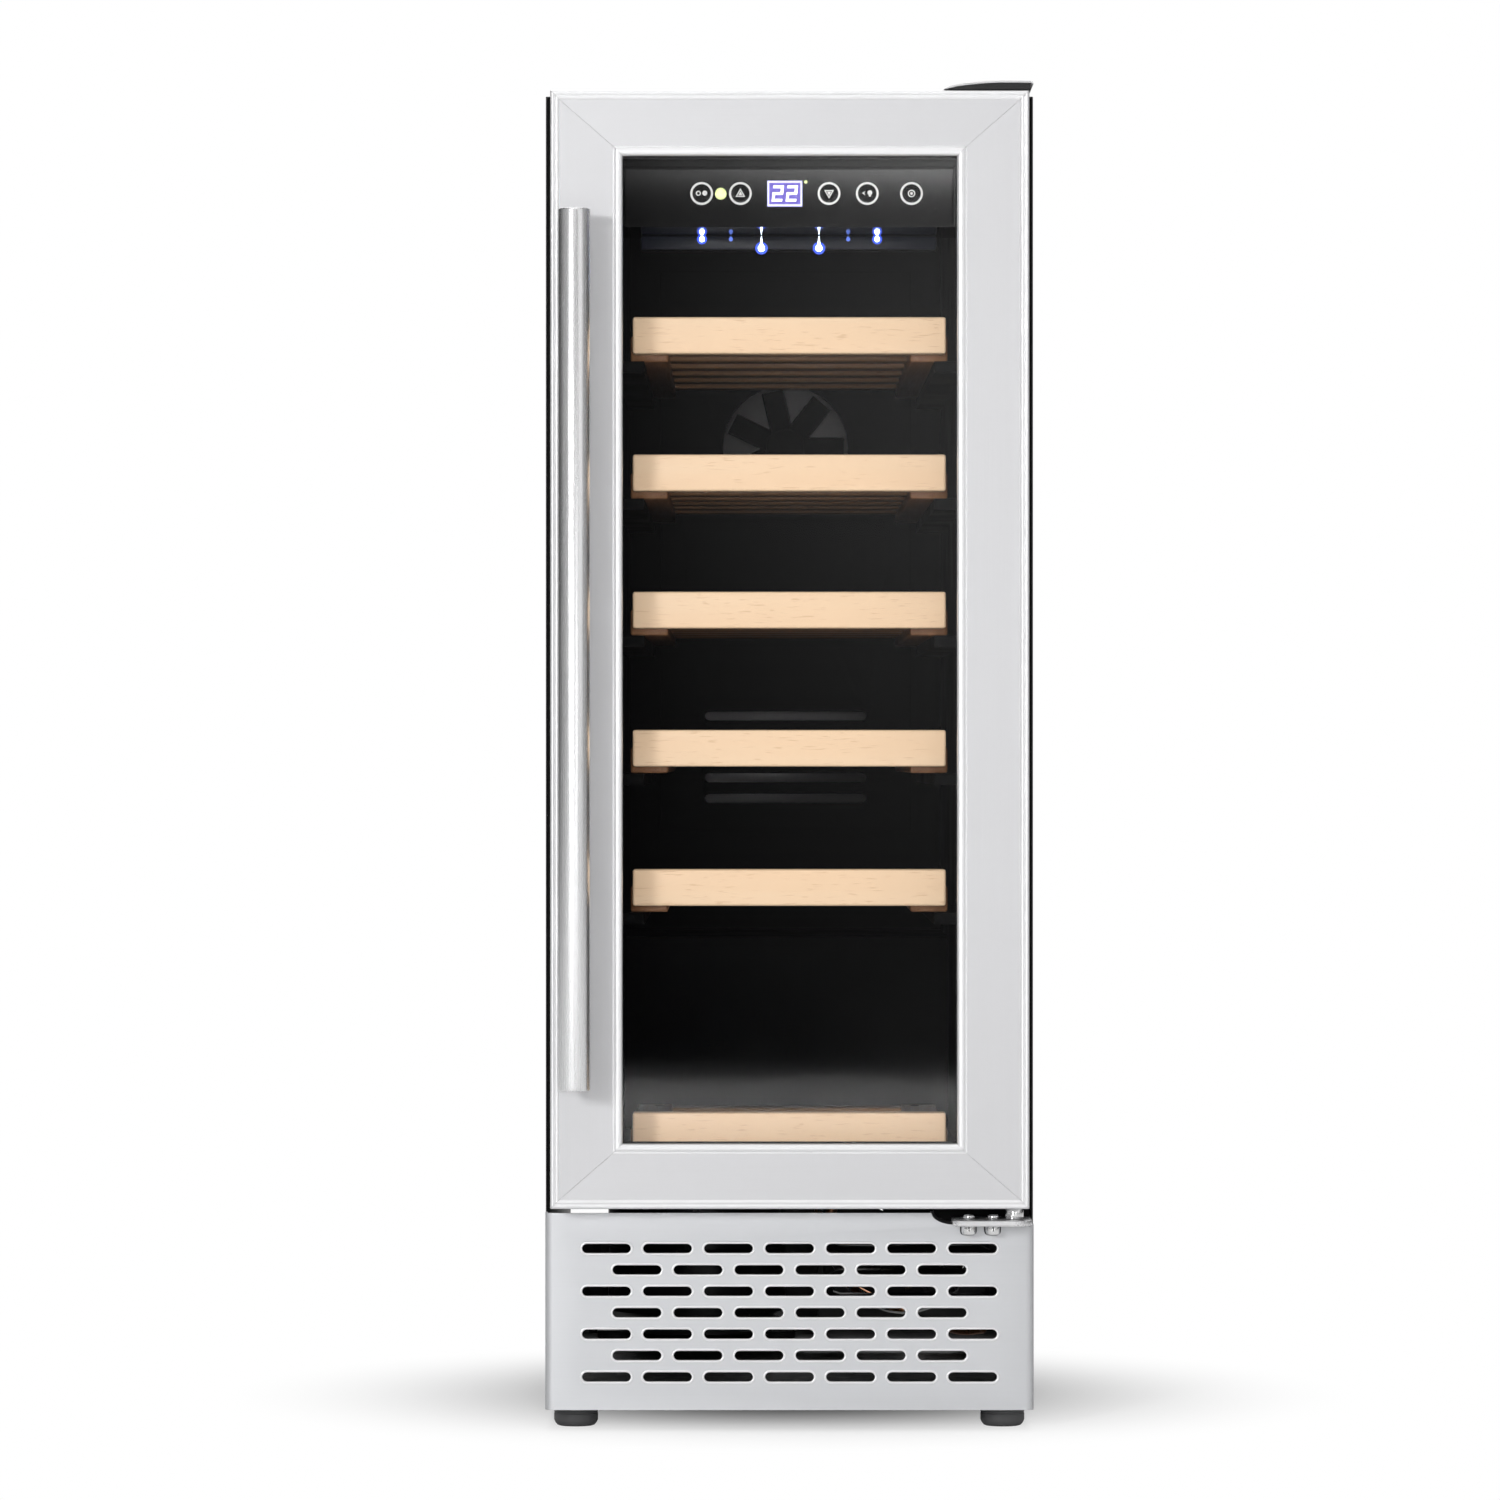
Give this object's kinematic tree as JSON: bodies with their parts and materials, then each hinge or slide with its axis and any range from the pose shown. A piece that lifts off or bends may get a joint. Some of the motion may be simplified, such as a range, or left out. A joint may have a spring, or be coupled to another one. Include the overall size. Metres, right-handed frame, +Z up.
{
  "type": "wine cooler",
  "caption": "Narrow under-counter wine cooler with a framed glass door, bar handle, sliding beech racks, lit controls and a slotted kick plate.",
  "frame": {"origin": "bottom centre of the whole object's box, on the floor under the four feet", "axes": "+Z up, -Y out of the front (door and handle), +X to the right of someone facing the door"},
  "size_m": [0.298, 0.61, 0.82],
  "materials": {
    "cabinet_paint": "satin black",
    "liner_plastic": "matte black",
    "foam": "rough foam",
    "galvanised_steel": "dull galvanised",
    "stainless_steel": "brushed",
    "black_steel": "gloss black",
    "hinge_steel": "polished",
    "foot_plastic": "matte dark grey",
    "door_glass": "smoked, clear",
    "aluminium": "mill finish",
    "door_plastic": "matte black",
    "gasket_rubber": "matte black",
    "beech": "clear satin varnish",
    "dark_beech": "oiled",
    "fascia_plastic": "gloss black",
    "button_plastic": "gloss black with a pale ring",
    "display": "lit blue-white",
    "lamp": "lit yellow-green",
    "light_bar": "smoked diffuser",
    "circuit_board": "lacquered",
    "fan_plastic": "matte black",
    "tray_plastic": "matte grey",
    "socket_plastic": "matte black"
  },
  "bodies": {
    "cabinet": {"cabinet_wrap": "cabinet_paint", "back_panel": "galvanised_steel", "base_pan": "galvanised_steel", "inner_liner": "liner_plastic", "insulation_foam": "foam", "kick_plate": "stainless_steel", "top_hinge_bracket": "black_steel", "top_hinge_cover": "stainless_steel", "top_hinge_pin": "hinge_steel", "bottom_hinge_bracket": "stainless_steel", "bottom_hinge_pin": "hinge_steel", "bottom_hinge_bolt_inner": "hinge_steel", "bottom_hinge_bolt_outer": "hinge_steel", "control_fascia": "fascia_plastic", "control_board": "circuit_board", "display_window": "display", "run_indicator": "lamp", "light_bar": "light_bar", "evaporator_plate": "aluminium", "air_duct_cover": "liner_plastic", "compressor": "black_steel", "condenser_coil": "black_steel", "condenser_fan_shroud": "fan_plastic", "drip_tray": "tray_plastic", "power_inlet": "socket_plastic"},
    "door": {"door_frame_top": "stainless_steel", "door_frame_bottom": "stainless_steel", "door_frame_left": "stainless_steel", "door_frame_right": "stainless_steel", "outer_glass": "door_glass", "inner_glass": "door_glass", "glass_spacer": "aluminium", "door_inner_frame": "door_plastic", "door_gasket": "gasket_rubber", "handle_bar": "stainless_steel", "handle_mount_top": "stainless_steel", "handle_mount_bottom": "stainless_steel"},
    "rack_1": {"rack_front_1": "beech", "rack_frame_1": "dark_beech"},
    "rack_2": {"rack_front_2": "beech", "rack_frame_2": "dark_beech"},
    "rack_3": {"rack_front_3": "beech", "rack_frame_3": "dark_beech"},
    "rack_4": {"rack_front_4": "beech", "rack_frame_4": "dark_beech"},
    "rack_5": {"rack_front_5": "beech", "rack_frame_5": "dark_beech"},
    "rack_6": {"rack_front_6": "beech", "rack_frame_6": "dark_beech"},
    "button_unit": {"button_unit": "button_plastic"},
    "button_up": {"button_up": "button_plastic"},
    "button_down": {"button_down": "button_plastic"},
    "button_light": {"button_light": "button_plastic"},
    "button_power": {"button_power": "button_plastic"},
    "circulation_fan": {"circulation_fan": "fan_plastic"},
    "condenser_fan": {"condenser_fan": "fan_plastic"},
    "foot_front_left": {"foot_front_left": "foot_plastic"},
    "foot_front_right": {"foot_front_right": "foot_plastic"},
    "foot_rear_left": {"foot_rear_left": "foot_plastic"},
    "foot_rear_right": {"foot_rear_right": "foot_plastic"}
  },
  "joints": [
    {"name": "door_hinge", "type": "hinge", "parent": "cabinet", "child": "door", "pos_m": [0.1365, -0.245, 0.4755], "axis": [0, 0, 1], "range_deg": [0, 115]},
    {"name": "rack_1_slide", "type": "slide", "parent": "cabinet", "child": "rack_1", "axis": [0, -1, 0], "range_m": [0, 0.101]},
    {"name": "rack_2_slide", "type": "slide", "parent": "cabinet", "child": "rack_2", "axis": [0, -1, 0], "range_m": [0, 0.101]},
    {"name": "rack_3_slide", "type": "slide", "parent": "cabinet", "child": "rack_3", "axis": [0, -1, 0], "range_m": [0, 0.101]},
    {"name": "rack_4_slide", "type": "slide", "parent": "cabinet", "child": "rack_4", "axis": [0, -1, 0], "range_m": [0, 0.101]},
    {"name": "rack_5_slide", "type": "slide", "parent": "cabinet", "child": "rack_5", "axis": [0, -1, 0], "range_m": [0, 0.101]},
    {"name": "rack_6_slide", "type": "slide", "parent": "cabinet", "child": "rack_6", "axis": [0, -1, 0], "range_m": [0, 0.101]},
    {"name": "button_unit_press", "type": "slide", "parent": "cabinet", "child": "button_unit", "axis": [0, 1, 0], "range_m": [0, 0.0008], "stiffness_N_per_m": 300, "springref_m": -0.001},
    {"name": "button_up_press", "type": "slide", "parent": "cabinet", "child": "button_up", "axis": [0, 1, 0], "range_m": [0, 0.0008], "stiffness_N_per_m": 300, "springref_m": -0.001},
    {"name": "button_down_press", "type": "slide", "parent": "cabinet", "child": "button_down", "axis": [0, 1, 0], "range_m": [0, 0.0008], "stiffness_N_per_m": 300, "springref_m": -0.001},
    {"name": "button_light_press", "type": "slide", "parent": "cabinet", "child": "button_light", "axis": [0, 1, 0], "range_m": [0, 0.0008], "stiffness_N_per_m": 300, "springref_m": -0.001},
    {"name": "button_power_press", "type": "slide", "parent": "cabinet", "child": "button_power", "axis": [0, 1, 0], "range_m": [0, 0.0008], "stiffness_N_per_m": 300, "springref_m": -0.001},
    {"name": "circulation_fan_spin", "type": "hinge", "parent": "cabinet", "child": "circulation_fan", "pos_m": [0, 0.2425, 0.62], "axis": [0, 1, 0], "continuous": true},
    {"name": "condenser_fan_spin", "type": "hinge", "parent": "cabinet", "child": "condenser_fan", "pos_m": [0.078, 0.15, 0.09], "axis": [0, 1, 0], "continuous": true},
    {"name": "foot_front_left_level", "type": "slide", "parent": "cabinet", "child": "foot_front_left", "axis": [0, 0, -1], "range_m": [0, 0.015]},
    {"name": "foot_front_right_level", "type": "slide", "parent": "cabinet", "child": "foot_front_right", "axis": [0, 0, -1], "range_m": [0, 0.015]},
    {"name": "foot_rear_left_level", "type": "slide", "parent": "cabinet", "child": "foot_rear_left", "axis": [0, 0, -1], "range_m": [0, 0.015]},
    {"name": "foot_rear_right_level", "type": "slide", "parent": "cabinet", "child": "foot_rear_right", "axis": [0, 0, -1], "range_m": [0, 0.015]}
  ],
  "couplings": [
    {"joint": "rack_1_slide", "follows": "door_hinge", "m_per_rad": 0.05},
    {"joint": "rack_2_slide", "follows": "door_hinge", "m_per_rad": 0.05},
    {"joint": "rack_3_slide", "follows": "door_hinge", "m_per_rad": 0.05},
    {"joint": "rack_4_slide", "follows": "door_hinge", "m_per_rad": 0.05},
    {"joint": "rack_5_slide", "follows": "door_hinge", "m_per_rad": 0.05},
    {"joint": "rack_6_slide", "follows": "door_hinge", "m_per_rad": 0.05}
  ]
}
